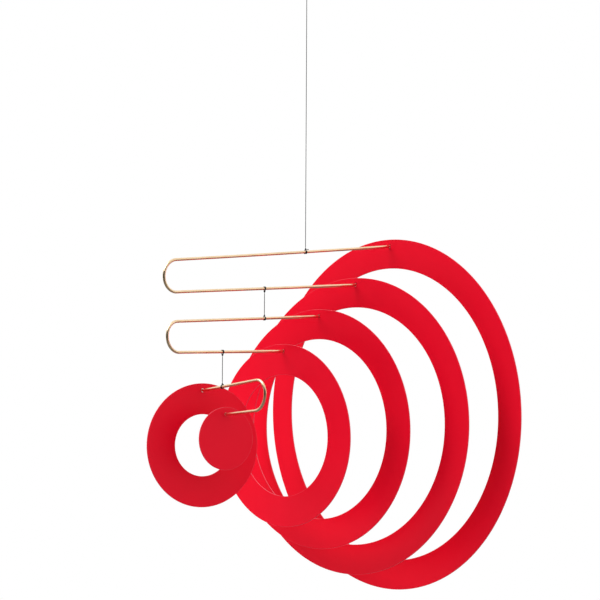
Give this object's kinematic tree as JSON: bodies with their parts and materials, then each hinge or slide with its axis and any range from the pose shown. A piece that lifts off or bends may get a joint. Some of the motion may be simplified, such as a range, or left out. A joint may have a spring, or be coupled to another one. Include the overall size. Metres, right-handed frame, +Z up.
{
  "type": "hanging mobile sculpture",
  "caption": "Hanging mobile of flat round rings and a disc in glossy red sheet, nested by size, on hairpin brass wires that hang one below another by threads.",
  "frame": {"origin": "top of the thread loop that the mobile hangs by", "axes": "+Z up along the hanging thread, +X to the right and +Y away from the side that the arms are set out towards at rest"},
  "size_m": [0.3014, 0.2893, 0.5189],
  "materials": {
    "red_sheet": "satin",
    "brass_wire": "polished",
    "thread": "matte"
  },
  "bodies": {
    "hanger": {"hanging_loop": "thread", "loop_knot": "thread", "hanging_thread": "thread"},
    "top_arm": {"hanging_thread_knot": "thread", "top_wire": "brass_wire", "ring_1": "red_sheet", "ring_2": "red_sheet", "upper_thread_top_knot": "thread", "upper_thread": "thread"},
    "middle_arm": {"upper_thread_bottom_knot": "thread", "middle_wire": "brass_wire", "ring_3": "red_sheet", "ring_4": "red_sheet", "lower_thread_top_knot": "thread", "lower_thread": "thread"},
    "bottom_arm": {"lower_thread_bottom_knot": "thread", "bottom_wire": "brass_wire", "ring_5": "red_sheet", "disc": "red_sheet"}
  },
  "joints": [
    {"name": "top_turn", "type": "hinge", "parent": "hanger", "child": "top_arm", "pos_m": [0, 0, -0.2302], "axis": [0, 0, 1], "continuous": true},
    {"name": "middle_turn", "type": "hinge", "parent": "top_arm", "child": "middle_arm", "pos_m": [-0.03336, -0.02986, -0.28654], "axis": [0, 0, 1], "continuous": true},
    {"name": "bottom_turn", "type": "hinge", "parent": "middle_arm", "child": "bottom_arm", "pos_m": [-0.06607, -0.0651, -0.34251], "axis": [0, 0, 1], "continuous": true}
  ]
}
